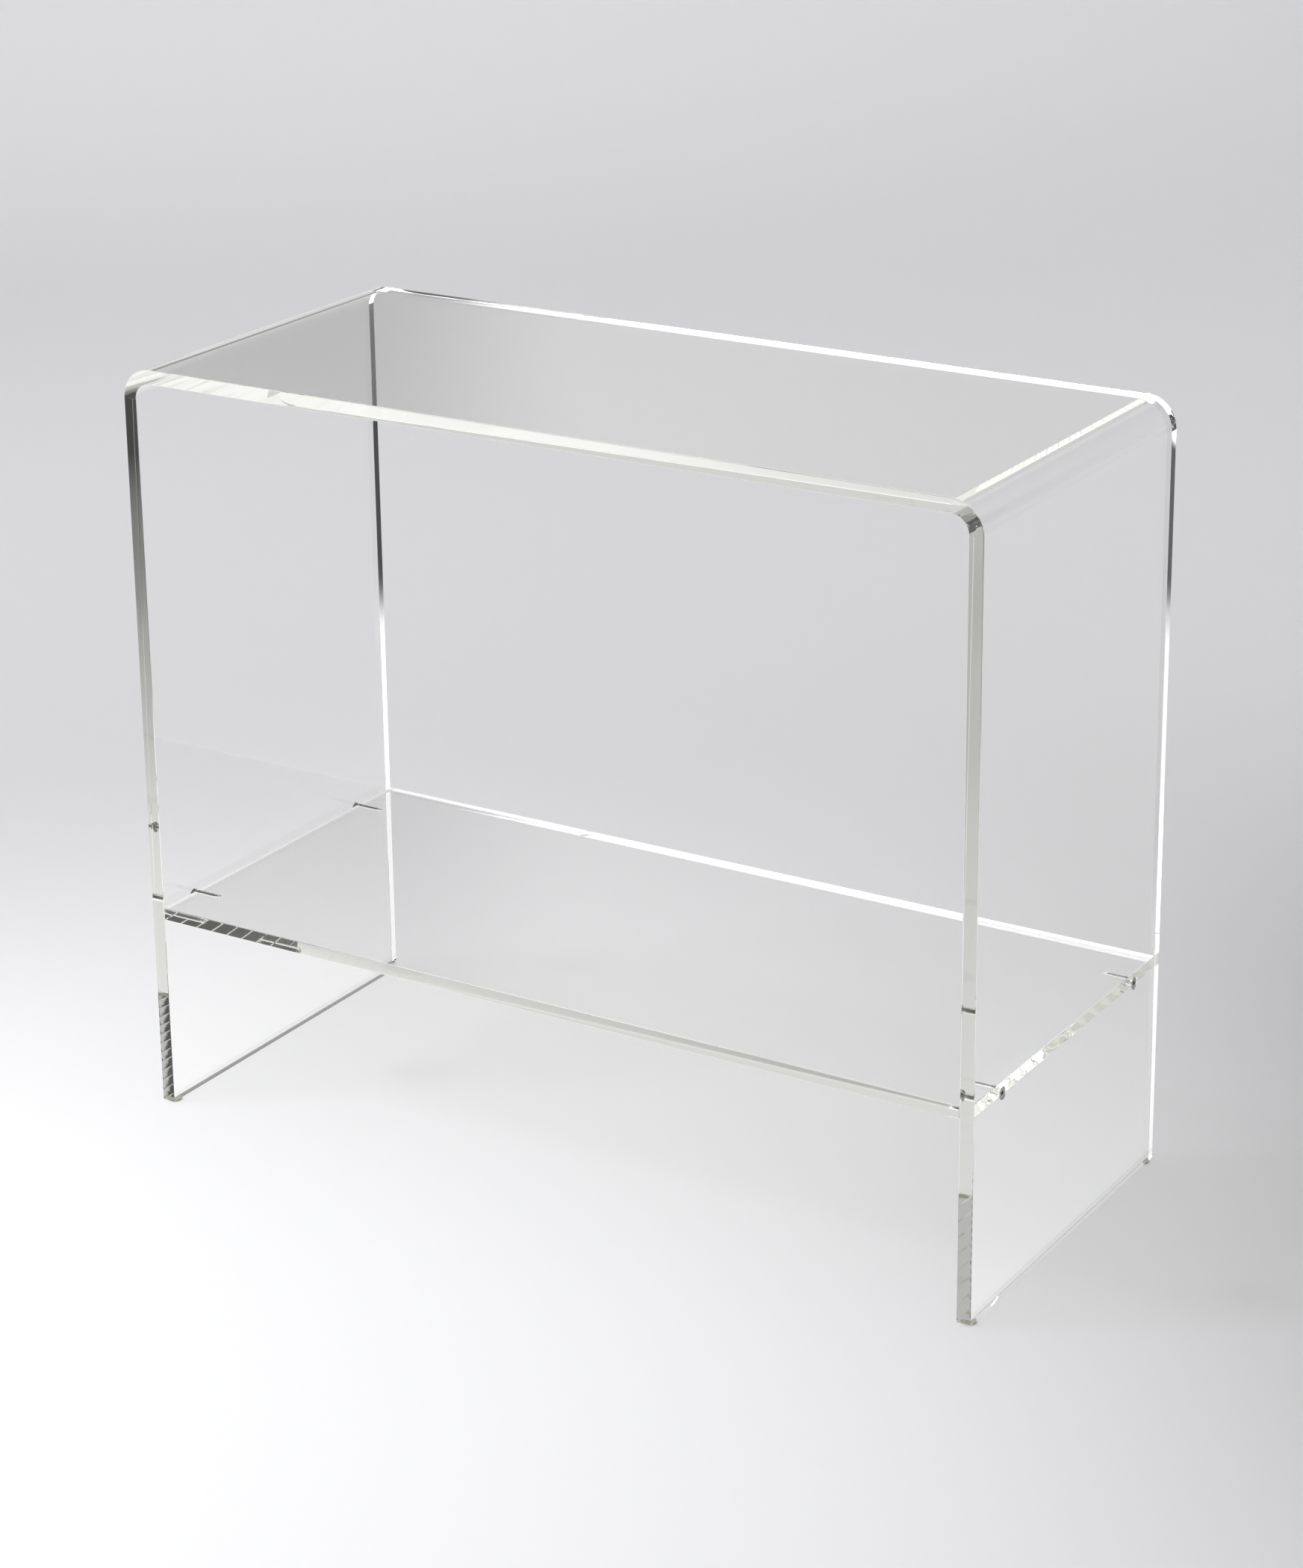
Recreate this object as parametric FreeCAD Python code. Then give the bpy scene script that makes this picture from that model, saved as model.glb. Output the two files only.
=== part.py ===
"""Clear acrylic magazine rack.

One sheet is bent twice into a top and two legs. A second sheet lies flat between
the legs as a low shelf, held at each end by two countersunk screws that pass
through the leg into the shelf. Four clear bumper pads under the legs meet the floor.

Frame, in millimetres: X runs along the rack's long side, Y from its front edge
to its back edge, and Z up. The origin is on the floor, under the middle.
"""
import FreeCAD, Part
import math
import os

# ---------------------------------------------------------------- sizes
overall_width = 610.0
overall_depth = 258.0
overall_height = 512.0

# The bent sheet: its thickness and the inside radius of both bends.
body_thickness = 9.5
bend_inside_radius = 11.0

# The shelf sheet, measured from the floor to its underside.
shelf_thickness = 8.5
shelf_underside_height = 134.5

# Every sheet edge is polished round to this radius.
edge_radius = 0.5

# Countersunk hexagon-socket screws, M4 x 25. The length includes the head.
thread_diameter = 4.0
screw_length = 25.0
screw_tip_chamfer = 0.5
head_diameter = 7.6
head_land = 0.25
socket_across_flats = 2.5
socket_depth = 1.6

# Where the screws stand, from the front edge and from the back edge.
screw_inset = 37.0

# How the screws fit: how far a head lies below the face of the leg, the
# clearance around the shank in the leg and around the thread in the shelf,
# and how far the tapped hole runs past the tip of the screw.
head_recess = 0.25
shank_clearance = 0.25
thread_clearance = 0.05
hole_past_tip = 2.0
drill_point_angle = 118.0

# Bumper pads: thickness, margin to the faces of the leg, distance from the
# leg's front or back edge to the middle of the pad, and rounding underneath.
pad_thickness = 1.5
pad_margin = 0.75
pad_inset = 6.5
pad_edge_radius = 0.4

# ---------------------------------------------------------------- derived
half_width = overall_width / 2
half_depth = overall_depth / 2
inner_face = half_width - body_thickness
bend_outside_radius = bend_inside_radius + body_thickness
shelf_middle_height = shelf_underside_height + shelf_thickness / 2
countersink_diameter = head_diameter + 2 * (head_recess + head_land)
shank_hole_diameter = thread_diameter + 2 * shank_clearance
tapped_hole_diameter = thread_diameter + 2 * thread_clearance
screw_reach_in_shelf = head_recess + screw_length - body_thickness

LEFT, RIGHT = -1, 1
FRONT, REAR = -1, 1
CORNERS = {
    "front_left": (LEFT, FRONT),
    "front_right": (RIGHT, FRONT),
    "rear_left": (LEFT, REAR),
    "rear_right": (RIGHT, REAR),
}


def vector(x, y, z):
    return FreeCAD.Vector(x, y, z)


def line(start, end):
    return Part.LineSegment(vector(*start), vector(*end)).toShape()


# ---------------------------------------------------------------- bent sheet
def sheet_path(inset, bend_radius):
    """One face of the bent sheet, seen from the front, as a line from the
    bottom of the right leg over the top to the bottom of the left leg.
    inset is how far this face lies inside the outer face."""
    side = half_width - inset
    top = overall_height - inset
    front = -half_depth
    bend_start = top - bend_radius
    bend_end = side - bend_radius
    # The point half way round a quarter turn.
    halfway = bend_radius * (1 - math.sqrt(0.5))
    edges = [line((side, front, pad_thickness), (side, front, bend_start))]
    right_bend = Part.Arc(
        vector(side, front, bend_start),
        vector(side - halfway, front, top - halfway),
        vector(bend_end, front, top),
    )
    edges.append(right_bend.toShape())
    edges.append(line((bend_end, front, top), (-bend_end, front, top)))
    left_bend = Part.Arc(
        vector(-bend_end, front, top),
        vector(-side + halfway, front, top - halfway),
        vector(-side, front, bend_start),
    )
    edges.append(left_bend.toShape())
    edges.append(line((-side, front, bend_start), (-side, front, pad_thickness)))
    return edges


def round_sharp_edges(solid, radius):
    """Rounds every edge where two faces meet at an angle, and leaves the
    edges where a flat face runs smoothly into a bend."""
    sharp = []
    for edge in solid.Edges:
        faces = solid.ancestorsOfType(edge, Part.Face)
        middle = edge.valueAt((edge.FirstParameter + edge.LastParameter) / 2)
        normals = [face.normalAt(*face.Surface.parameter(middle)) for face in faces]
        if abs(normals[0].dot(normals[1])) < 0.99:
            sharp.append(edge)
    return solid.makeFillet(radius, sharp)


def screw_axis(side, end):
    """The point where a screw's axis leaves the leg, and its direction inward."""
    y = end * (half_depth - screw_inset)
    return vector(side * half_width, y, shelf_middle_height), vector(-side, 0, 0)


def countersunk_hole(side, end):
    """A 90 degree countersink and the clearance hole behind it."""
    start, inward = screw_axis(side, end)
    depth = (countersink_diameter - shank_hole_diameter) / 2
    sink = Part.makeCone(countersink_diameter / 2, shank_hole_diameter / 2, depth, start, inward)
    hole = Part.makeCylinder(shank_hole_diameter / 2, body_thickness, start, inward)
    return sink.fuse(hole)


def make_body():
    outside = sheet_path(0.0, bend_outside_radius)
    inside = sheet_path(body_thickness, bend_inside_radius)
    feet = []
    for side in (LEFT, RIGHT):
        feet.append(line(
            (side * half_width, -half_depth, pad_thickness),
            (side * inner_face, -half_depth, pad_thickness),
        ))
    outline = Part.Wire(Part.sortEdges(outside + inside + feet)[0])
    sheet = Part.Face(outline).extrude(vector(0, overall_depth, 0))
    sheet = round_sharp_edges(sheet, edge_radius)
    for side, end in CORNERS.values():
        sheet = sheet.cut(countersunk_hole(side, end))
    return sheet


# ---------------------------------------------------------------- shelf
def tapped_hole(side, end):
    """A blind hole in the shelf's end, with the cone that the drill leaves."""
    face, inward = screw_axis(side, end)
    start = face + inward * body_thickness
    radius = tapped_hole_diameter / 2
    depth = screw_reach_in_shelf + hole_past_tip
    hole = Part.makeCylinder(radius, depth, start, inward)
    point_depth = radius / math.tan(math.radians(drill_point_angle / 2))
    point = Part.makeCone(radius, 0, point_depth, start + inward * depth, inward)
    return hole.fuse(point)


def make_shelf():
    length = 2 * inner_face
    corner = vector(-inner_face, -half_depth, shelf_underside_height)
    shelf = Part.makeBox(length, overall_depth, shelf_thickness, corner)
    shelf = round_sharp_edges(shelf, edge_radius)
    for side, end in CORNERS.values():
        shelf = shelf.cut(tapped_hole(side, end))
    return shelf


# ---------------------------------------------------------------- screws
def hexagon_socket(face, inward):
    """The hexagonal hole for the key, with the cone left at its bottom."""
    corner_radius = socket_across_flats / math.sqrt(3)
    corners = []
    for turn in range(6):
        angle = math.radians(60 * turn)
        across = corner_radius * math.cos(angle)
        up = corner_radius * math.sin(angle)
        corners.append(face + vector(0, across, up))
    outline = Part.makePolygon(corners + corners[:1])
    prism = Part.Face(outline).extrude(inward * socket_depth)
    radius = socket_across_flats / 2
    point_depth = radius / math.tan(math.radians(drill_point_angle / 2))
    point = Part.makeCone(radius, 0, point_depth, face + inward * socket_depth, inward)
    return prism.fuse(point)


def make_screw(side, end):
    leg_face, inward = screw_axis(side, end)
    face = leg_face + inward * head_recess
    head_radius = head_diameter / 2
    thread_radius = thread_diameter / 2
    tip_radius = thread_radius - screw_tip_chamfer
    cone_depth = head_radius - thread_radius
    cone_start = face + inward * head_land
    shank_start = cone_start + inward * cone_depth
    shank_length = screw_length - head_land - cone_depth - screw_tip_chamfer
    tip_start = shank_start + inward * shank_length
    land = Part.makeCylinder(head_radius, head_land, face, inward)
    cone = Part.makeCone(head_radius, thread_radius, cone_depth, cone_start, inward)
    shank = Part.makeCylinder(thread_radius, shank_length, shank_start, inward)
    tip = Part.makeCone(thread_radius, tip_radius, screw_tip_chamfer, tip_start, inward)
    screw = land.fuse([cone, shank, tip])
    return screw.cut(hexagon_socket(face, inward)).removeSplitter()


# ---------------------------------------------------------------- bumper pads
def make_pad(side, end):
    x = side * (half_width - body_thickness / 2)
    y = end * (half_depth - pad_inset)
    radius = body_thickness / 2 - pad_margin
    pad = Part.makeCylinder(radius, pad_thickness, vector(x, y, 0))
    lower_rim = [edge for edge in pad.Edges if edge.BoundBox.ZMax < pad_edge_radius]
    return pad.makeFillet(pad_edge_radius, lower_rim)


# ---------------------------------------------------------------- all pieces
pieces = {"acrylic_body": make_body(), "lower_shelf": make_shelf()}
for corner_name, (side, end) in CORNERS.items():
    pieces["screw_" + corner_name] = make_screw(side, end)
    pieces["foot_pad_" + corner_name] = make_pad(side, end)

os.makedirs("parts", exist_ok=True)
for name, shape in pieces.items():
    shape.exportStep("parts/" + name + ".step")
    box = shape.optimalBoundingBox()
    size = (round(box.XLength, 2), round(box.YLength, 2), round(box.ZLength, 2))
    print(name, "valid", shape.isValid(), "solids", len(shape.Solids), "size", size)
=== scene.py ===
# %% [markdown]
# # A clear acrylic magazine rack
#
# The rack is made of two polished acrylic sheets. One is heated along two lines and bent into a
# top with two legs. The other is a flat shelf, screwed low between the legs. Clear acrylic has no
# colour of its own to speak of: what the eye sees is light that the sheets bend, and light that
# their cut edges throw about inside. So the shapes have to be exact, the corners have to be
# rounded as polishing leaves them, and the surroundings count as much as the object does.
#
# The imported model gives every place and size. Lengths are in metres, +X runs along the rack to
# its right end, +Y from its front to its back, and +Z up.

# %% Load the frame
import math
import bmesh
import bpy
from mathutils import Matrix, Vector


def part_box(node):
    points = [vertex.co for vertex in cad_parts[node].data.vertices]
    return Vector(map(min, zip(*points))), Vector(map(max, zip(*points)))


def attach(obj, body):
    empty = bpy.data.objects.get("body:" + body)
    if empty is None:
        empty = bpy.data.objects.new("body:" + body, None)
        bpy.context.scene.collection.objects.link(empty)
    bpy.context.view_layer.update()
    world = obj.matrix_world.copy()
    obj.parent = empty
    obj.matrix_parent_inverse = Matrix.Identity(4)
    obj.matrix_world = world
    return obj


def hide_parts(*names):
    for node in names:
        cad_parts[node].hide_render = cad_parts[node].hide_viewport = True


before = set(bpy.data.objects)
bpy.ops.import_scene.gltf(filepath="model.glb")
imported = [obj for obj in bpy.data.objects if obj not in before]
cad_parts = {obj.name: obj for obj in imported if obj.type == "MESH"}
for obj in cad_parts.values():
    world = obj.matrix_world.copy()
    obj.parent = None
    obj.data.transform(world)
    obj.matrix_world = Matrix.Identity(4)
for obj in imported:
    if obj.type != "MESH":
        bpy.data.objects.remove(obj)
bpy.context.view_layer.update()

scene = bpy.context.scene
CORNERS = ("front_left", "front_right", "rear_left", "rear_right")
body_low, body_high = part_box("acrylic_body")
shelf_low, shelf_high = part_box("lower_shelf")

# %% [markdown]
# Some sizes can't be read off a box. The sheet's thickness can: the shelf fills the space between
# the legs exactly, so what is left on each side is one thickness. The bends' inside radius and
# the small radius that polishing leaves along each edge are the maker's own values.

# %% Sizes of the sheets
MM = 0.001
sheet_thickness = shelf_low.x - body_low.x
bend_inside_radius = 11.0 * MM
bend_outside_radius = bend_inside_radius + sheet_thickness
polished_edge_radius = 0.5 * MM
depth = body_high.y - body_low.y
print("sheet", round(sheet_thickness / MM, 2), "shelf", round((shelf_high.z - shelf_low.z) / MM, 2))

# %% [markdown]
# Every mesh here is made the same way: a bmesh is shaped with operators, its doubles are merged,
# its faces are turned outwards, and the result becomes an object at the origin. A clear solid has
# to be closed, or the light that enters it never leaves it properly, so the helper counts open
# edges.
#
# A small angle between two faces is shaded smooth, and a large one stays sharp. The
# weighted-normal modifier then lets the big flat faces keep their true direction, and only the
# narrow faces of a bend turn from one to the next. Without it, a flat sheet would bend light like
# a weak lens.

# %% Helpers for shapes
MERGE_DISTANCE = 0.001 * MM
SMOOTH_ANGLE = 20.0
SHARP_ANGLE = 40.0


def tidy(shape):
    """Merges doubles, takes out walls left inside, turns faces outwards and counts open edges."""
    bmesh.ops.remove_doubles(shape, verts=shape.verts, dist=MERGE_DISTANCE)
    inside = [face for face in shape.faces if all(len(edge.link_faces) > 2 for edge in face.edges)]
    bmesh.ops.delete(shape, geom=inside, context="FACES_ONLY")
    bmesh.ops.recalc_face_normals(shape, faces=shape.faces)
    return sum(not edge.is_manifold for edge in shape.edges)


def shade(mesh, smooth_angle=SMOOTH_ANGLE):
    """Shades the small angles between faces smooth and leaves the large ones sharp."""
    mesh.shade_smooth()
    mesh.set_sharp_from_angle(angle=math.radians(smooth_angle))


def make_object(name, shape, smooth_angle=SMOOTH_ANGLE):
    """Turns a finished bmesh into an object at the origin."""
    open_edges = tidy(shape)
    mesh = bpy.data.meshes.new(name)
    shape.to_mesh(mesh)
    shape.free()
    shade(mesh, smooth_angle)
    piece = bpy.data.objects.new(name, mesh)
    scene.collection.objects.link(piece)
    print(name, len(mesh.polygons), "faces,", open_edges, "open edges")
    return piece


def keep_flats_flat(piece):
    """Lets the wide faces keep their own direction, and the narrow ones share theirs."""
    weighted = piece.modifiers.new("flat faces stay flat", "WEIGHTED_NORMAL")
    weighted.mode = "FACE_AREA"
    weighted.weight = 100
    weighted.keep_sharp = True


def flat_grid(shape, size_x, size_y, centre):
    """One rectangular face, level, with its middle at centre."""
    made = bmesh.ops.create_grid(shape, x_segments=1, y_segments=1, size=0.5)
    bmesh.ops.scale(shape, vec=(size_x, size_y, 1.0), verts=made["verts"])
    bmesh.ops.translate(shape, vec=centre, verts=made["verts"])
    return shape.faces[:]


def push(shape, faces, offset):
    """Extrudes faces by offset and returns the faces at the new end."""
    made = bmesh.ops.extrude_face_region(shape, geom=faces)["geom"]
    moved = [item for item in made if isinstance(item, bmesh.types.BMVert)]
    bmesh.ops.translate(shape, vec=offset, verts=moved)
    return [item for item in made if isinstance(item, bmesh.types.BMFace)]


def bend(shape, faces, centre, axis, angle, steps):
    """Carries faces round an axis, as a strip heater's bend does, and returns the new end."""
    loose = set(faces)
    for face in faces:
        loose.update(face.edges)
        loose.update(face.verts)
    made = bmesh.ops.spin(shape, geom=list(loose), cent=centre, axis=axis, angle=angle, steps=steps)
    return [item for item in made["geom_last"] if isinstance(item, bmesh.types.BMFace)]


def round_edges(shape, edges, radius, segments):
    """Rounds edges to a radius."""
    bmesh.ops.bevel(
        shape, geom=edges, offset=radius, offset_type="OFFSET", affect="EDGES",
        segments=segments, profile=0.5, material=-1, clamp_overlap=True,
    )


def sharp_edges(shape):
    """The edges between two faces that meet at more than the sharp angle."""
    limit = math.radians(SHARP_ANGLE)
    return [edge for edge in shape.edges if edge.is_manifold and edge.calc_face_angle() > limit]

# %% [markdown]
# ## The bent sheet
#
# The sheet is followed from foot to foot. It starts as one rectangle, the underside of the right
# leg, which is pushed up the leg, carried round the first bend, pushed over the top, carried
# round the second bend and pushed down the left leg. Spin makes a bend of the right radius on
# both faces at once, which is just what heating and folding a sheet does.

# %% Make the bent sheet
BEND_STEPS = 36
QUARTER_TURN = math.pi / 2
ARRIS_SEGMENTS = 3


def make_bent_sheet():
    shape = bmesh.new()
    right_leg_middle = body_high.x - sheet_thickness / 2
    start = (right_leg_middle, 0.0, body_low.z)
    leg_length = body_high.z - bend_outside_radius - body_low.z
    top_length = body_high.x - body_low.x - 2 * bend_outside_radius
    bend_height = body_high.z - bend_outside_radius
    bend_place = body_high.x - bend_outside_radius
    end = flat_grid(shape, sheet_thickness, depth, start)
    end = push(shape, end, (0, 0, leg_length))
    end = bend(shape, end, (bend_place, 0, bend_height), (0, -1, 0), QUARTER_TURN, BEND_STEPS)
    end = push(shape, end, (-top_length, 0, 0))
    end = bend(shape, end, (-bend_place, 0, bend_height), (0, -1, 0), QUARTER_TURN, BEND_STEPS)
    push(shape, end, (0, 0, -leg_length))
    tidy(shape)
    round_edges(shape, sharp_edges(shape), polished_edge_radius, ARRIS_SEGMENTS)
    return make_object("clear_body", shape)

# %% [markdown]
# ## The shelf
#
# The shelf is a plain rectangle of sheet, so a scaled cube with rounded edges is all it needs.
# Its ends only touch the legs, and a film of air stays between two polished faces, which is why
# the joint shows as a bright line. A tenth of a millimetre at each end leaves that film. Two
# clear solids that share a face would also confuse the light.

# %% Make the shelf
air_film = 0.1 * MM


def make_shelf():
    shape = bmesh.new()
    size = shelf_high - shelf_low - Vector((2 * air_film, 0, 0))
    made = bmesh.ops.create_cube(shape, size=1.0)
    bmesh.ops.scale(shape, vec=size, verts=made["verts"])
    bmesh.ops.translate(shape, vec=(shelf_low + shelf_high) / 2, verts=made["verts"])
    round_edges(shape, sharp_edges(shape), polished_edge_radius, ARRIS_SEGMENTS)
    return make_object("clear_shelf", shape)

# %% [markdown]
# ## Turned shapes
#
# The screws, their holes and the bumper pads are all round, so each one starts as half an outline
# that is spun about an axis. The outline is a list of (distance along the axis, radius). It is
# drawn along +X and then set in place: on the left leg the screws point to +X, and on the right
# leg a half turn about Z points them the other way.

# %% Helpers for turned shapes
TURN_STEPS = 64


def lathe(shape, outline, turn_shift=0.0):
    """Spins an outline about X. turn_shift carries it along X in that turn, as in a thread."""
    verts = [shape.verts.new((along, 0.0, radius)) for along, radius in outline]
    edges = [shape.edges.new(pair) for pair in zip(verts, verts[1:])]
    bmesh.ops.spin(
        shape, geom=verts + edges, cent=(0, 0, 0), axis=(1, 0, 0), angle=2 * math.pi,
        dvec=(turn_shift / TURN_STEPS, 0, 0), steps=TURN_STEPS, use_merge=turn_shift == 0,
    )
    bmesh.ops.remove_doubles(shape, verts=shape.verts, dist=MERGE_DISTANCE)


def put_on_leg(shape, corner):
    """Moves a shape drawn along +X from the origin to a screw's place in the face of its leg."""
    low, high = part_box("screw_" + corner)
    side = 1 if "right" in corner else -1
    middle = (low + high) / 2
    place = Matrix.Translation((side * body_high.x, middle.y, middle.z))
    turn = Matrix.Rotation(math.pi if side > 0 else 0.0, 4, "Z")
    bmesh.ops.transform(shape, matrix=place @ turn, verts=shape.verts)


def cut(piece, cutters):
    """Takes the cutters' shapes out of a piece for good, and removes the cutters."""
    for cutter in cutters:
        boolean = piece.modifiers.new("cut", "BOOLEAN")
        boolean.operation = "DIFFERENCE"
        boolean.solver = "EXACT"
        boolean.object = cutter
    graph = bpy.context.evaluated_depsgraph_get()
    mesh = bpy.data.meshes.new_from_object(piece.evaluated_get(graph))
    piece.modifiers.clear()
    piece.data = mesh
    shade(mesh)
    for cutter in cutters:
        bpy.data.objects.remove(cutter)
    print(piece.name, "cut,", len(mesh.polygons), "faces")

# %% [markdown]
# A countersunk hole is a cone that opens at the face of the leg, with a straight hole behind it.
# The head of the screw lies in the cone, just under the face. Behind it, a blind hole in the
# shelf's end takes the thread. These holes matter even where the screw fills them: in clear sheet
# their walls catch the light, and the countersink shows as a bright ring.

# %% Sizes of the screws and their holes
screw_low, screw_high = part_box("screw_front_right")
head_radius = (screw_high.z - screw_low.z) / 2
head_recess = body_high.x - screw_high.x
screw_length = screw_high.x - screw_low.x
head_land = 0.25 * MM
thread_radius = 2.0 * MM
thread_pitch = 0.7 * MM
thread_depth = 0.4 * MM
shank_hole_radius = 2.25 * MM
tapped_hole_radius = 2.05 * MM
countersink_radius = head_radius + head_recess + head_land
hole_past_tip = 2.0 * MM
drill_half_angle = math.radians(59)
cutter_overshoot = 1.0 * MM
print("head radius", round(head_radius / MM, 2), "countersink", round(countersink_radius / MM, 2))

# %% Helpers for the holes
def make_leg_hole(corner):
    """The shape to cut from a leg: a cone that opens at the face, then a straight hole."""
    outline = [
        (-cutter_overshoot, 0),
        (-cutter_overshoot, countersink_radius + cutter_overshoot),
        (countersink_radius - shank_hole_radius, shank_hole_radius),
        (sheet_thickness + cutter_overshoot, shank_hole_radius),
        (sheet_thickness + cutter_overshoot, 0),
    ]
    shape = bmesh.new()
    lathe(shape, outline)
    put_on_leg(shape, corner)
    return make_object("leg_hole_" + corner, shape)


def make_shelf_hole(corner):
    """The shape to cut from the shelf's end: a blind hole with the cone a drill leaves."""
    end = head_recess + screw_length + hole_past_tip
    drill_point = tapped_hole_radius / math.tan(drill_half_angle)
    outline = [
        (sheet_thickness - cutter_overshoot, 0),
        (sheet_thickness - cutter_overshoot, tapped_hole_radius),
        (end, tapped_hole_radius),
        (end + drill_point, 0),
    ]
    shape = bmesh.new()
    lathe(shape, outline)
    put_on_leg(shape, corner)
    return make_object("shelf_hole_" + corner, shape)

# %% Make both sheets with their holes
clear_body = make_bent_sheet()
cut(clear_body, [make_leg_hole(corner) for corner in CORNERS])
clear_shelf = make_shelf()
cut(clear_shelf, [make_shelf_hole(corner) for corner in CORNERS])
for piece, node in ((clear_body, "acrylic_body"), (clear_shelf, "lower_shelf")):
    keep_flats_flat(piece)
    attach(piece, "root")
    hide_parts(node)

# %% [markdown]
# ## The screws
#
# Each screw is an M4 with a countersunk head and a hexagon socket. The head and neck are turned,
# and a hexagonal prism is cut out of the head for the key. The thread is a zigzag outline spun
# once while it moves along by one pitch. Each tooth then ends where the next one began, so a
# single turn of the whole outline makes the complete helix.

# %% Helpers for the screws
socket_radius = 1.25 * MM
socket_depth = 1.6 * MM
head_chamfer = 0.1 * MM
neck_turns = 2.2
tip_chamfer = 0.5 * MM


def make_socket_cutter(corner):
    """A hexagonal prism, half in the head. Its flats lie at the socket's radius."""
    shape = bmesh.new()
    corner_radius = socket_radius / math.cos(math.pi / 6)
    made = bmesh.ops.create_cone(
        shape, cap_ends=True, segments=6, radius1=corner_radius, radius2=corner_radius,
        depth=2 * socket_depth,
    )
    bmesh.ops.rotate(shape, verts=made["verts"], matrix=Matrix.Rotation(QUARTER_TURN, 3, "Y"))
    bmesh.ops.translate(shape, verts=shape.verts, vec=(head_recess, 0, 0))
    put_on_leg(shape, corner)
    return make_object("key_socket_" + corner, shape)


def make_thread(shape, start, end):
    """A helix from start to end along the axis, with its two ends closed."""
    root_radius = thread_radius - thread_depth
    groove = ((0.0, root_radius), (0.2, root_radius))
    crest = ((0.5, thread_radius), (0.65, thread_radius))
    outline = []
    turns = int((end - start) / thread_pitch) - 1
    for turn in range(turns):
        along = start + turn * thread_pitch
        for share_of_pitch, radius in groove + crest:
            outline.append((along + share_of_pitch * thread_pitch, radius))
    outline.append((start + turns * thread_pitch, root_radius))
    lathe(shape, outline, thread_pitch)
    bmesh.ops.holes_fill(shape, edges=shape.edges, sides=0)


def make_screw(corner):
    """One screw: a turned head and neck with a socket cut out, and a threaded shank."""
    cone_end = head_recess + head_land + head_radius - thread_radius
    tip = head_recess + screw_length
    neck_end = cone_end + neck_turns * thread_pitch
    head = bmesh.new()
    lathe(head, [
        (head_recess, 0),
        (head_recess, head_radius - head_chamfer),
        (head_recess + head_chamfer, head_radius),
        (head_recess + head_land, head_radius),
        (cone_end, thread_radius),
        (neck_end, thread_radius - thread_depth / 2),
        (neck_end, 0),
    ])
    put_on_leg(head, corner)
    screw = make_object("screw_" + corner + "_steel", head)
    cut(screw, [make_socket_cutter(corner)])
    shank = bmesh.new()
    make_thread(shank, neck_end - thread_pitch, tip - tip_chamfer)
    lathe(shank, [
        (tip - 2 * thread_pitch, 0),
        (tip - 2 * thread_pitch, thread_radius - thread_depth),
        (tip - tip_chamfer, thread_radius - thread_depth),
        (tip, thread_radius - thread_depth - tip_chamfer),
        (tip, 0),
    ])
    put_on_leg(shank, corner)
    print("thread has", tidy(shank), "open edges")
    shank.from_mesh(screw.data)
    shank.to_mesh(screw.data)
    shank.free()
    shade(screw.data)
    return screw

# %% Make the screws
screws = [make_screw(corner) for corner in CORNERS]
for screw, corner in zip(screws, CORNERS):
    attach(screw, "root")
    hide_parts("screw_" + corner)

# %% [markdown]
# ## The bumper pads
#
# The pads are soft discs stuck under the legs. A pad sticks to the polished sheet with no air
# between, so it is seen through the leg as a small dull disc. Its upper face stands a hair inside
# the leg here, which is how a ray inside the sheet can meet the pad before it meets the sheet's
# own face.

# %% Make the bumper pads
stuck_depth = 0.03 * MM
pad_edge_radius = 0.4 * MM
on_rim = 0.01 * MM


def make_pad(corner):
    """One pad, drawn along X with a rounded far rim, then turned to point down."""
    low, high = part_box("foot_pad_" + corner)
    radius = (high.x - low.x) / 2
    height = high.z - low.z
    shape = bmesh.new()
    lathe(shape, [(-stuck_depth, 0), (-stuck_depth, radius), (height, radius), (height, 0)])
    rims = [edge for edge in sharp_edges(shape) if abs(edge.verts[0].co.x - height) < on_rim]
    round_edges(shape, rims, pad_edge_radius, 4)
    down = Matrix.Rotation(QUARTER_TURN, 4, "Y")
    place = Matrix.Translation(((low.x + high.x) / 2, (low.y + high.y) / 2, high.z))
    bmesh.ops.transform(shape, matrix=place @ down, verts=shape.verts)
    return make_object("bumper_pad_" + corner, shape)


pads = [make_pad(corner) for corner in CORNERS]
for pad, corner in zip(pads, CORNERS):
    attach(pad, "root")
    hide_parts("foot_pad_" + corner)

# %% [markdown]
# ## Shader maths
#
# A finish is a small network of nodes. This class wraps one socket, so that sums and products of
# sockets can be written as ordinary expressions, each of which adds its Math node. Every other
# node comes from Finish.node, which sets the node's settings first and then its inputs.

# %% Helpers for finishes
class Signal:
    """One output of a node, which can be added, multiplied and so on."""

    def __init__(self, finish, socket):
        self.finish = finish
        self.socket = socket

    def __add__(self, other):
        return self.finish.maths("ADD", self, other)

    def __radd__(self, other):
        return self.finish.maths("ADD", other, self)

    def __sub__(self, other):
        return self.finish.maths("SUBTRACT", self, other)

    def __rsub__(self, other):
        return self.finish.maths("SUBTRACT", other, self)

    def __mul__(self, other):
        return self.finish.maths("MULTIPLY", self, other)

    def __rmul__(self, other):
        return self.finish.maths("MULTIPLY", other, self)

    def __gt__(self, other):
        return self.finish.maths("GREATER_THAN", self, other)

    def __lt__(self, other):
        return self.finish.maths("LESS_THAN", self, other)

    def size(self):
        return self.finish.maths("ABSOLUTE", self)


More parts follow.
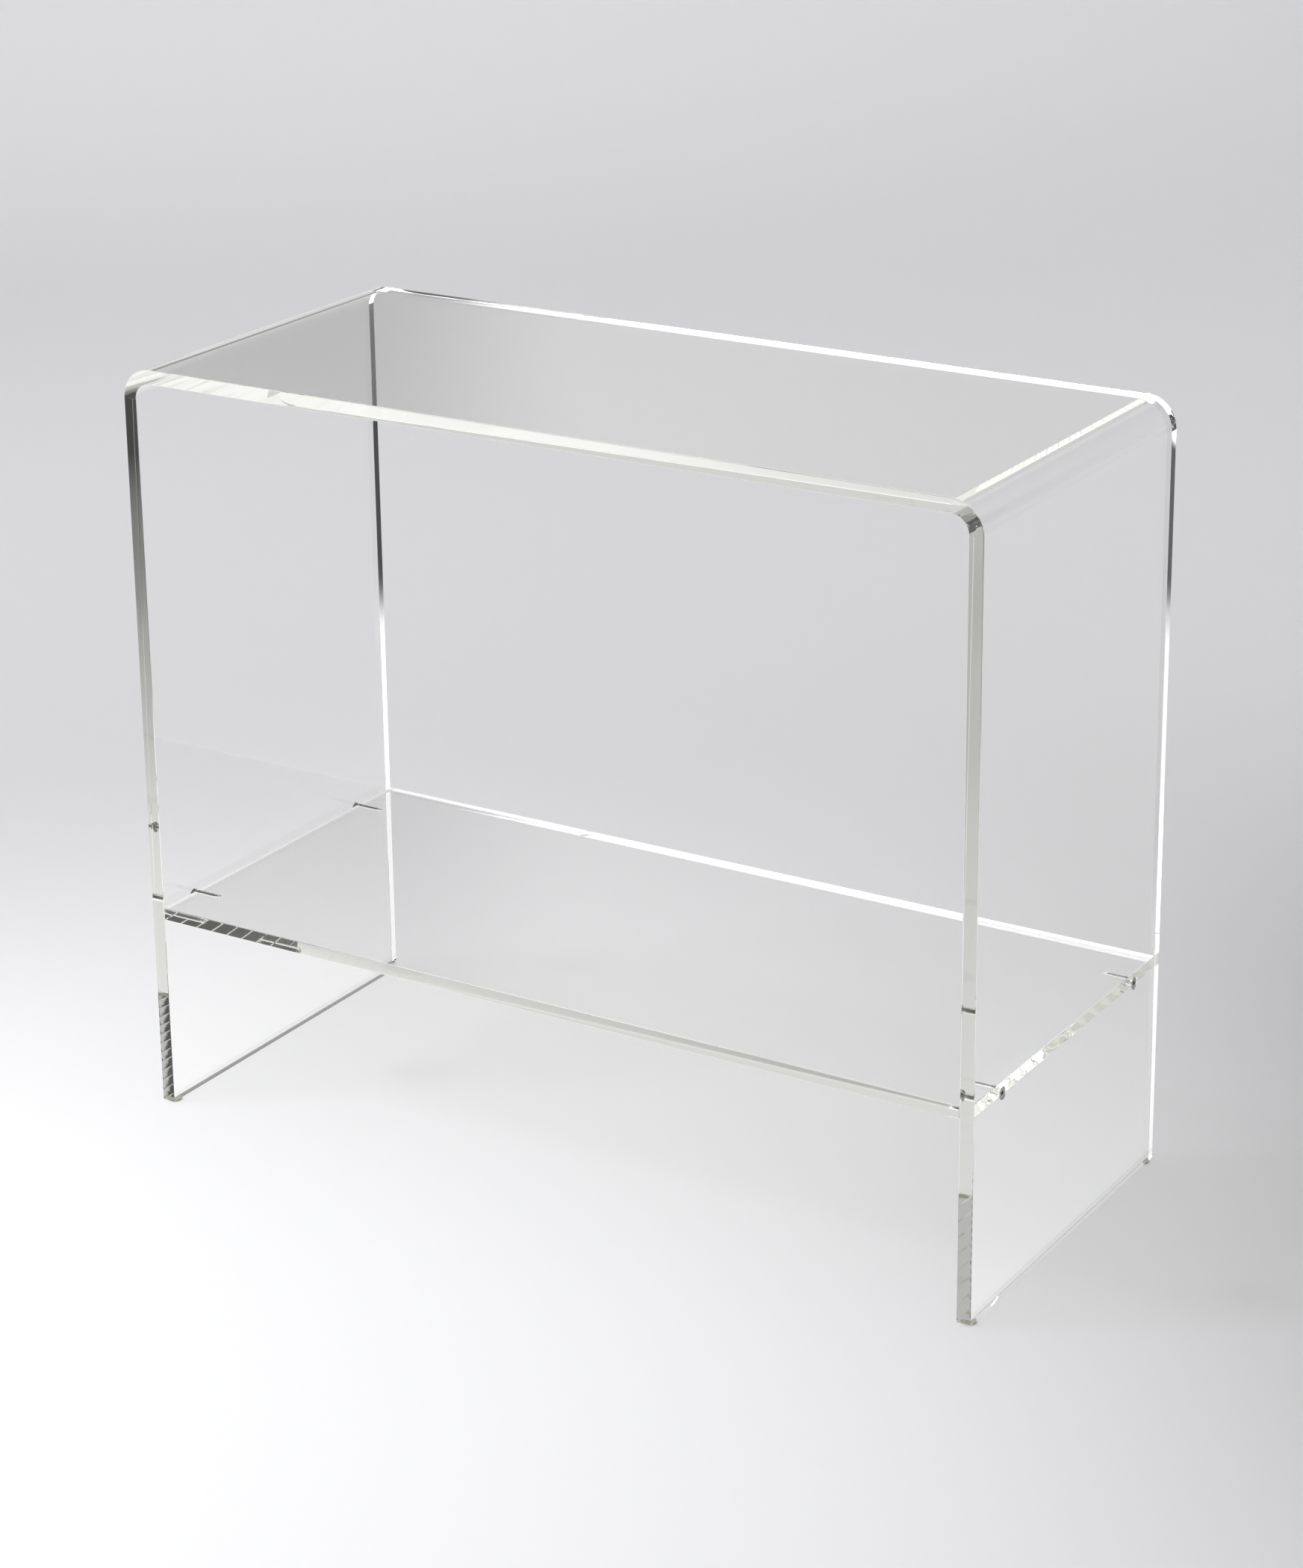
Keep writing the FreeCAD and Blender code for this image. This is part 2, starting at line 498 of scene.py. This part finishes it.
class Finish:
    """A material, or the world, and the nodes that make it."""

    def __init__(self, owner):
        owner.use_nodes = True
        self.owner = owner
        self.tree = owner.node_tree
        self.tree.nodes.clear()

    def node(self, kind, settings=None, inputs=None, output=0):
        made = self.tree.nodes.new(kind)
        for name, value in (settings or {}).items():
            setattr(made, name, value)
        for name, value in (inputs or {}).items():
            if isinstance(value, Signal):
                self.tree.links.new(value.socket, made.inputs[name])
            else:
                made.inputs[name].default_value = value
        return Signal(self, made.outputs[output]) if made.outputs else None

    def maths(self, operation, first, second=0.0):
        return self.node("ShaderNodeMath", {"operation": operation}, {0: first, 1: second})

    def place(self):
        """A point on the piece, and its X, Y and Z."""
        coordinates = self.node("ShaderNodeTexCoord", output="Object")
        split = self.node("ShaderNodeSeparateXYZ", inputs={0: coordinates})
        outputs = split.socket.node.outputs
        return coordinates, [Signal(self, outputs[axis]) for axis in ("X", "Y", "Z")]

    def ramp(self, value, low, high, to_low=0.0, to_high=1.0):
        """Runs smoothly from to_low at low to to_high at high."""
        limits = {
            "Value": value, "From Min": low, "From Max": high, "To Min": to_low, "To Max": to_high,
        }
        return self.node("ShaderNodeMapRange", {"interpolation_type": "SMOOTHSTEP"}, limits)


def new_material(name):
    return Finish(bpy.data.materials.new(name))

# %% [markdown]
# ## Clear acrylic
#
# Acrylic bends light a little less than glass: its index is 1.49. Its wide faces are as smooth as
# they were cast, so they are left perfectly smooth. The cut edges were planed and then polished
# with a buff, so they carry long, low ripples. They are too low to see on the outline, but light
# that runs along inside the sheet and leaves by an edge shows them as wavy lines. The heat of
# bending puckers the edge of each bend, so the ripples are stronger and shorter there.
#
# The ripples are a bump, and a mask keeps them to the cut edges: a point belongs to one if it
# lies within a fraction of a millimetre of the front, the back, a foot, or an end of the shelf.

# %% Find the cut edges
acrylic = new_material("clear acrylic")
coordinates, (along_x, along_y, along_z) = acrylic.place()
edge_skin = 0.2 * MM
is_front_or_back = along_y.size() > body_high.y - edge_skin
is_foot = along_z < body_low.z + edge_skin
past_shelf_end = along_x.size() > shelf_high.x - air_film - edge_skin
before_leg = along_x.size() < shelf_high.x - air_film / 2
is_shelf_end = past_shelf_end * before_leg
above_bend_start = along_z > body_high.z - bend_outside_radius
past_bend_start = along_x.size() > body_high.x - bend_outside_radius
is_bend = above_bend_start * past_bend_start

# %% [markdown]
# Three noises make the ripples. The first is long and low, from the buffing of every edge. The
# second is shorter and steeper, and it shows on the saw-cut ends that nobody polishes twice. The
# third is a fine crinkle in the edges of the bends, where the hot sheet was squeezed on the
# inside.

# %% Ripple the cut edges
def ripple(wavelength, detail):
    return acrylic.node("ShaderNodeTexNoise", {"noise_dimensions": "3D"}, {
        "Vector": coordinates, "Scale": 1.0 / wavelength, "Detail": detail, "Roughness": 0.45,
    })


buffing = ripple(26 * MM, 1.0) * (0.03 * MM)
puckering = ripple(7 * MM, 2.0) * (0.02 * MM)
crinkle = ripple(3.5 * MM, 1.0) * (0.09 * MM)
height = (buffing + crinkle * is_bend) * is_front_or_back + puckering * (is_foot + is_shelf_end)
bump_settings = {"Strength": 1.0, "Distance": 1.0, "Height": height}
rippled = acrylic.node("ShaderNodeBump", inputs=bump_settings)
print("ripples", len(acrylic.tree.nodes), "nodes")

# %% [markdown]
# The shader is glass with that index. The sheet takes a little more blue and red than green out
# of the light on a long path, so an edge looks faintly olive while a face looks colourless. The
# absorption gives just that, because it grows with the distance travelled.
#
# Light from a lamp that has to pass through a bent clear sheet is hard to follow backwards. For
# rays that only ask whether a lamp is hidden, and for the soft light between the floor and its
# surroundings, the sheet stands aside as a plain tinted pane. It also stands aside for light that
# has been thrown back thirty times. In a bend some light is caught for good, and in real sheet it
# seeps out in the end, but a renderer gives up on it and draws a black line.

# %% Make the acrylic finish
turns_before_seeping_out = 30
clear = acrylic.node("ShaderNodeBsdfPrincipled", inputs={
    "Base Color": (1.0, 1.0, 1.0, 1.0),
    "Roughness": 0.0,
    "IOR": 1.49,
    "Transmission Weight": 1.0,
    "Normal": rippled,
})
pane = acrylic.node("ShaderNodeBsdfTransparent", inputs={"Color": (0.95, 0.95, 0.945, 1.0)})
shadow_ray = acrylic.node("ShaderNodeLightPath", output="Is Shadow Ray")
floor_ray = acrylic.node("ShaderNodeLightPath", output="Is Diffuse Ray")
turns = acrylic.node("ShaderNodeLightPath", output="Glossy Depth")
caught_light = turns > turns_before_seeping_out + 0.5
aside = acrylic.maths("MAXIMUM", acrylic.maths("MAXIMUM", shadow_ray, floor_ray), caught_light)
sheet_surface = acrylic.node("ShaderNodeMixShader", inputs={0: aside, 1: clear, 2: pane})
tint = acrylic.node("ShaderNodeVolumeAbsorption", inputs={
    "Color": (0.87, 0.90, 0.74, 1.0), "Density": 1.0,
})
acrylic.node("ShaderNodeOutputMaterial", inputs={"Surface": sheet_surface, "Volume": tint})
for sheet in (clear_body, clear_shelf):
    sheet.data.materials.clear()
    sheet.data.materials.append(acrylic.owner)
print("acrylic", len(acrylic.tree.nodes), "nodes")

# %% [markdown]
# ## Screw steel
#
# The screws are plain steel, bright where they have been handled and darker in patches, so one
# noise drives the colour and the roughness together. A lathe leaves fine rings on the head, and a
# low bump draws them from the distance to the screw's own axis. All four axes lie at the same
# height and at the same distance from the middle, so one sum finds that distance for every screw.

# %% Make the steel finish
steel = new_material("plain steel")
steel_place, (_, steel_y, steel_z) = steel.place()
axis_y = (screw_low.y + screw_high.y) / 2
axis_z = (screw_low.z + screw_high.z) / 2
ring_spacing = 0.45 * MM
from_axis_y = steel_y.size() - abs(axis_y)
from_axis_z = steel_z - axis_z
from_axis = steel.maths("SQRT", from_axis_y * from_axis_y + from_axis_z * from_axis_z)
rings = steel.maths("SINE", from_axis * (2 * math.pi / ring_spacing))
stain = steel.node("ShaderNodeTexNoise", inputs={
    "Vector": steel_place, "Scale": 900.0, "Detail": 3.0,
})
steel_colour = steel.node("ShaderNodeValToRGB", inputs={0: stain})
steel_tones = steel_colour.socket.node.color_ramp.elements
steel_tones[0].position, steel_tones[0].color = 0.3, (0.18, 0.177, 0.172, 1.0)
steel_tones[1].position, steel_tones[1].color = 0.7, (0.50, 0.495, 0.49, 1.0)
steel_bump = steel.node("ShaderNodeBump", inputs={
    "Strength": 0.5, "Distance": 0.02 * MM, "Height": rings,
})
steel_shader = steel.node("ShaderNodeBsdfPrincipled", inputs={
    "Base Color": steel_colour,
    "Metallic": 1.0,
    "Roughness": steel.ramp(stain, 0.3, 0.7, 0.42, 0.26),
    "Normal": steel_bump,
})
steel.node("ShaderNodeOutputMaterial", inputs={"Surface": steel_shader})
for screw in screws:
    screw.data.materials.clear()
    screw.data.materials.append(steel.owner)
print("steel", len(steel.tree.nodes), "nodes")

# %% [markdown]
# ## Bumper pads
#
# A clear bumper is a soft, milky plastic. Dust and its own glue give it a grey-brown tone in
# patches, and its skin is satin with a fine orange-peel surface.

# %% Make the bumper finish
bumper = new_material("clear bumper")
bumper_place, _ = bumper.place()
cloud = bumper.node("ShaderNodeTexNoise", inputs={
    "Vector": bumper_place, "Scale": 420.0, "Detail": 4.0,
})
peel = bumper.node("ShaderNodeTexNoise", inputs={
    "Vector": bumper_place, "Scale": 2500.0, "Detail": 1.0,
})
bumper_colour = bumper.node("ShaderNodeValToRGB", inputs={0: cloud})
bumper_tones = bumper_colour.socket.node.color_ramp.elements
bumper_tones[0].position, bumper_tones[0].color = 0.3, (0.20, 0.18, 0.13, 1.0)
bumper_tones[1].position, bumper_tones[1].color = 0.7, (0.42, 0.39, 0.31, 1.0)
bumper_bump = bumper.node("ShaderNodeBump", inputs={
    "Strength": 0.6, "Distance": 0.05 * MM, "Height": peel,
})
bumper_shader = bumper.node("ShaderNodeBsdfPrincipled", inputs={
    "Base Color": bumper_colour,
    "Roughness": bumper.ramp(cloud, 0.3, 0.7, 0.35, 0.5),
    "Normal": bumper_bump,
})
bumper.node("ShaderNodeOutputMaterial", inputs={"Surface": bumper_shader})
for pad in pads:
    pad.data.materials.clear()
    pad.data.materials.append(bumper.owner)
print("bumper", len(bumper.tree.nodes), "nodes")

# %% [markdown]
# ## The stage
#
# The rack stands on a pale floor that curves up into a wall all round, so that no edge shows
# behind it from any side. Half its outline is drawn, from the middle of the floor to the top of
# the wall, and spun about the vertical.

# %% Make the stage
stage_radius, stage_bend_radius, stage_wall = 5.5, 2.0, 3.0


def make_stage():
    shape = bmesh.new()
    flat_radius = stage_radius - stage_bend_radius
    verts = [shape.verts.new((0, 0, 0)), shape.verts.new((flat_radius, 0, 0))]
    shape.edges.new(verts)
    made = bmesh.ops.spin(
        shape, geom=[verts[1]], cent=(flat_radius, 0, stage_bend_radius), axis=(0, -1, 0),
        angle=QUARTER_TURN, steps=24,
    )
    top = [item for item in made["geom_last"] if isinstance(item, bmesh.types.BMVert)]
    made = bmesh.ops.extrude_vert_indiv(shape, verts=top)
    bmesh.ops.translate(shape, verts=made["verts"], vec=(0, 0, stage_wall))
    bmesh.ops.spin(
        shape, geom=shape.verts[:] + shape.edges[:], cent=(0, 0, 0), axis=(0, 0, 1),
        angle=2 * math.pi, steps=96, use_merge=True,
    )
    bmesh.ops.remove_doubles(shape, verts=shape.verts, dist=0.01 * MM)
    bmesh.ops.recalc_face_normals(shape, faces=shape.faces)
    return make_object("studio_floor", shape, smooth_angle=60.0)


studio_floor = make_stage()

# %% [markdown]
# ## What the edges see
#
# Clear sheet shows whatever stands round it. Straight through a face, the eye sees the plain floor.
# In a cut edge, it sees light that was thrown back inside the sheet, and that light comes from
# anywhere in the room: a big bright softbox at the front left, the dark gap between the paper and
# the softbox, the dim far wall and a dark corner at the back right. None of these stands in the
# scene: they are light and shade painted on the paper. Those contrasts draw the edges. With the
# same pale paper all round, the edges would all but vanish.
#
# So the paper has two sides to it. Rays that come straight, or through the sheet, see lit paper.
# Rays that have been thrown back at least once see the rest of the room, painted on the paper as
# glowing soft zones of light and shade. The zones are laid out along two lines: forward, which runs
# to the front left, where the painted softbox lies, and sideways, which runs to the front right.
#
# A studio would dress each edge by itself, with small cards. Here the number of times that light
# was thrown back picks the painted light or shade that each edge shows, because it tells the edges
# apart: a face needs one turn, the top's front edge five or six, the right leg's eight or nine, the
# shelf's nine or ten, and the left leg's twelve or more. It is painted set dressing for the main
# view. It isn't how a real room behaves, and other views only borrow it.

# %% Measure the room
paper = new_material("pale paper")
paper_place, (room_x, room_y, room_z) = paper.place()
forward = -1.0 * (room_x * 0.49 + room_y * 0.87)
sideways = room_x * 0.87 - room_y * 0.49
times_thrown_back = paper.node("ShaderNodeLightPath", output="Glossy Depth")
is_thrown_back = times_thrown_back > 0.5
is_often_thrown_back = times_thrown_back > 3.5


def blend(first, second, share):
    """first where share is none, second where it is one."""
    return first + (second - first) * share

# %% [markdown]
# The painted floor that the edges mirror is brightest just in front of the rack. Behind it, painted
# shade makes light that has run the whole depth of the sheet, with many turns, arrive dimmer, and
# dimmest of all by way of the right leg.

# %% The painted floor of the room
painted_near_floor = paper.ramp(forward, -0.7, 0.25, 0.68, 1.25)
many_turns = paper.ramp(times_thrown_back, 5.0, 11.0)
painted_far_floor = paper.ramp(room_y, 1.0, 1.45, 1.0, 0.70)
painted_far_floor = painted_far_floor - many_turns * paper.ramp(room_y, 0.0, 1.1, 0.2, 0.8)
right_leg_turns = (times_thrown_back > 7.5) * (times_thrown_back < 9.5)
painted_far_floor = blend(painted_far_floor, paper.ramp(room_y, 0.0, 0.9, 0.68, 0.48), right_leg_turns)
painted_far_floor = paper.maths("MAXIMUM", painted_far_floor, 0.05)
painted_floor_glow = blend(painted_near_floor, painted_far_floor, is_often_thrown_back * (room_y > 0.0))

# %% [markdown]
# The painted far wall is dim where a face mirrors it and brighter where an edge does, and painted
# shade darkens it towards its left, as far as a paler corner. After eleven turns or more, only the
# foot of the left leg still looks at it, and it sees a painted dark strip beside a grey one. A
# painted dark corner lies beyond the wall on the right.

# %% The painted walls of the room
painted_dim_wall = paper.ramp(room_x, -3.45, -3.0, 0.28, 0.66) * paper.ramp(room_x, -3.0, -2.2, 1.0, 0.92)
painted_dim_wall = blend(painted_dim_wall, 0.52, paper.ramp(room_x, -3.75, -3.95))
painted_bright_wall = paper.ramp(room_z, 1.9, 2.75, 1.0, 0.5) * paper.ramp(room_x, -3.0, -2.4, 1.0, 0.85)
painted_foot_wall = paper.ramp(room_x, -3.66, -3.62, 0.03, 0.5)
painted_bright_wall = blend(painted_bright_wall, painted_foot_wall, paper.ramp(times_thrown_back, 10.5, 11.5))
painted_wall_glow = blend(painted_dim_wall, painted_bright_wall, is_often_thrown_back)
painted_dark_corner = paper.ramp(room_x, 2.6, 3.3) * paper.ramp(room_z, 3.4, 2.7)
painted_wall_glow = blend(painted_wall_glow, 0.012, painted_dark_corner)
painted_room_glow = blend(painted_floor_glow, painted_wall_glow, paper.ramp(room_z, 0.25, 0.9))

# %% [markdown]
# In front, the painted paper ends and a painted dark gap follows. Beyond the gap stands a painted
# softbox. Seen from the rack, its sides lie at fixed shares of sideways over forward. Its lower
# left corner hides behind the gap, and its left part is low. The painted gap is black to light that
# has been inside the sheet, and grey to light that a face mirrors from outside.
#
# The painted softbox glows several times brighter than white paper, though it is no lamp. It shows
# so in the first gleam, after one or two turns inside a sheet, which paints the back edges as white
# highlight lines, and again in light that has crossed both sheets to the shelf's far end. Elsewhere
# it is only as bright as paper.

# %% The painted dark gap and softbox
painted_softbox_power = 5.0
times_passed_through = paper.node("ShaderNodeLightPath", output="Transmission Depth")
painted_gap = paper.ramp(forward, 0.76, 0.98)
painted_gap_glow = blend(0.02, 0.4, times_passed_through < 0.5)
painted_room_glow = blend(painted_room_glow, painted_gap_glow, painted_gap)
# A painted dark patch lies on the floor at the front right, for rays thrown back inside the sheet.
painted_right_gap = paper.ramp(sideways, 0.4, 0.6) * paper.ramp(forward, -0.1, 0.1)
painted_room_glow = blend(painted_room_glow, 0.12, painted_right_gap * (1.0 - painted_gap))
bearing = paper.maths("DIVIDE", sideways, paper.maths("MAXIMUM", forward, 0.1))
narrow_top = blend(paper.ramp(room_z, 1.3, 0.9), 1.0, paper.ramp(bearing, -0.15, -0.12))
painted_softbox_left = paper.ramp(bearing, -0.36, -0.30) * narrow_top
painted_softbox_width = painted_softbox_left * paper.ramp(bearing, 0.44, 0.38)
painted_softbox_height = paper.ramp(room_z, 3.6, 3.1)
painted_softbox_foot = forward - paper.ramp(sideways, -0.15, -0.45, 0.0, 1.2)
painted_softbox_glow = paper.ramp(painted_softbox_foot, 1.42, 1.55) * painted_softbox_width * painted_softbox_height
is_first_gleam = (times_passed_through > 0.5) * (times_thrown_back < 2.5)
crossed_both_sheets = (times_passed_through > 4.5) * (times_thrown_back > 15.5)
is_glaring = paper.maths("MAXIMUM", is_first_gleam, crossed_both_sheets)
painted_room_glow = blend(painted_room_glow, blend(1.0, painted_softbox_power, is_glaring), painted_softbox_glow)

# %% [markdown]
# The paper itself is matt, with the faint, fine tooth of a paper roll. The painted room is an
# emission that is only looked at. It lights nothing, so it is left out of the lamps that a renderer
# aims rays at.

# %% Make the paper finish
tooth = paper.node("ShaderNodeTexNoise", inputs={
    "Vector": paper_place, "Scale": 1500.0, "Detail": 2.0,
})
tooth_bump = paper.node("ShaderNodeBump", inputs={
    "Strength": 0.15, "Distance": 0.1 * MM, "Height": tooth,
})
paper_shader = paper.node("ShaderNodeBsdfPrincipled", inputs={
    "Base Color": (0.80, 0.80, 0.808, 1.0),
    "Roughness": 0.95,
    "Specular IOR Level": 0.1,
    "Normal": tooth_bump,
})
# This emission paints the room's light and shade for rays thrown back inside the sheet.
painted_room_shader = paper.node("ShaderNodeEmission", inputs={"Color": painted_room_glow, "Strength": 1.0})
paper_surface = paper.node("ShaderNodeMixShader", inputs={
    0: is_thrown_back, 1: paper_shader, 2: painted_room_shader,
})
paper.node("ShaderNodeOutputMaterial", inputs={"Surface": paper_surface})
paper.owner.cycles.emission_sampling = "NONE"
studio_floor.data.materials.append(paper.owner)
print("paper", len(paper.tree.nodes), "nodes")

# %% [markdown]
# The stage is lit softly and evenly by the world, which leaves a pale grey floor and wall. Three
# spots with very soft edges add pools of light: one on the floor at the front left, a weaker one
# beside it, and one on the wall behind. None of them is ever seen itself.

# %% Light the stage
world = bpy.data.worlds.new("studio")
scene.world = world
sky = Finish(world)
sky_light = sky.node("ShaderNodeBackground", inputs={
    "Color": (0.99, 0.99, 1.0, 1.0), "Strength": 1.0,
})
sky.node("ShaderNodeOutputWorld", inputs={"Surface": sky_light})


def aim(thing, place, target):
    thing.location = place
    thing.rotation_mode = "QUATERNION"
    thing.rotation_quaternion = (Vector(target) - Vector(place)).to_track_quat("-Z", "Y")
    scene.collection.objects.link(thing)


def pool_of_light(name, place, target, watts, angle, softness):
    """A spot with a soft edge, which lights the floor and is never seen itself."""
    lamp = bpy.data.lights.new(name, "SPOT")
    lamp.energy = watts
    lamp.spot_size = math.radians(angle)
    lamp.spot_blend = 1.0
    lamp.shadow_soft_size = softness
    holder = bpy.data.objects.new(name, lamp)
    aim(holder, place, target)
    holder.visible_camera = holder.visible_glossy = holder.visible_transmission = False


pool_of_light("key pool", (-2.1, -1.6, 2.4), (-0.26, -0.56, 0.0), watts=325, angle=34, softness=0.3)
pool_of_light("side pool", (-2.6, -0.6, 2.6), (-1.1, 0.8, 0.0), watts=50, angle=40, softness=0.4)
pool_of_light(
    "backdrop pool", (-1.0, 0.5, 4.0), (-3.6, 4.2, 0.6), watts=165, angle=70, softness=0.5,
)

# %% [markdown]
# A black card is held level above the floor, to the right of the rack, and no view shows it. It
# keeps the light of the room off the paper, so the floor falls into a soft shade beside the right
# leg. A card that stood upright would draw a hard line on the floor.

# %% Hold a black card beside the rack
card_width, card_length = 1.10, 1.20
card_middle = (1.02, 0.37, 0.45)
card_shape = bmesh.new()
card_turn = Matrix.Rotation(math.radians(-67.5), 3, "Z")
bmesh.ops.create_grid(card_shape, x_segments=1, y_segments=1, size=0.5)
bmesh.ops.scale(card_shape, verts=card_shape.verts, vec=(card_width, card_length, 1.0))
bmesh.ops.rotate(card_shape, verts=card_shape.verts, cent=(0, 0, 0), matrix=card_turn)
bmesh.ops.translate(card_shape, verts=card_shape.verts, vec=card_middle)
black_card = make_object("black_card", card_shape)
black_card.visible_camera = black_card.visible_glossy = black_card.visible_transmission = False

# %% Make the card's finish
card_finish = new_material("black card")
card_place, _ = card_finish.place()
card_grain = card_finish.node("ShaderNodeTexNoise", inputs={
    "Vector": card_place, "Scale": 600.0, "Detail": 2.0,
})
card_shader = card_finish.node("ShaderNodeBsdfPrincipled", inputs={
    "Base Color": card_finish.ramp(card_grain, 0.3, 0.7, 0.015, 0.03),
    "Roughness": 0.9,
})
card_finish.node("ShaderNodeOutputMaterial", inputs={"Surface": card_shader})
black_card.data.materials.append(card_finish.owner)

# %% [markdown]
# ## The camera
#
# The camera stands to the right of the rack's front and looks down on it. Its long lens keeps the
# sides nearly parallel.

# %% Place the camera
camera_data = bpy.data.cameras.new("camera")
camera = bpy.data.objects.new("camera", camera_data)
scene.collection.objects.link(camera)
scene.camera = camera
camera_data.sensor_width = 36.0
camera_data.lens = 86.47
camera_data.shift_y = -0.12
camera_place = (1.2011, -1.9163, 1.1102)
heading = Matrix.Rotation(math.radians(31.92), 4, "Z")
dip = Matrix.Rotation(math.radians(90 - 18.08), 4, "X")
roll = Matrix.Rotation(math.radians(-0.65), 4, "Z")
camera.matrix_world = Matrix.Translation(camera_place) @ heading @ dip @ roll
camera_data.clip_start = 0.05
camera_data.clip_end = 50.0
print("camera at", camera_place)

# %% [markdown]
# Light that runs along inside a sheet turns many times before it comes out, so it is followed
# much further than in a scene of solid things. If it were dropped early, the edges would turn
# black. The plain view transform keeps the tones as they were lit.

# %% Follow the light far enough
scene.cycles.max_bounces = 64
scene.cycles.glossy_bounces = 64
scene.cycles.transmission_bounces = 32
scene.cycles.transparent_max_bounces = 32
scene.cycles.diffuse_bounces = 3
scene.cycles.caustics_reflective = False
scene.cycles.caustics_refractive = False
scene.view_settings.view_transform = "Standard"

# %% [markdown]
# At the end, the view layer is brought up to date.

# %% Update the view layer
bpy.context.view_layer.update()
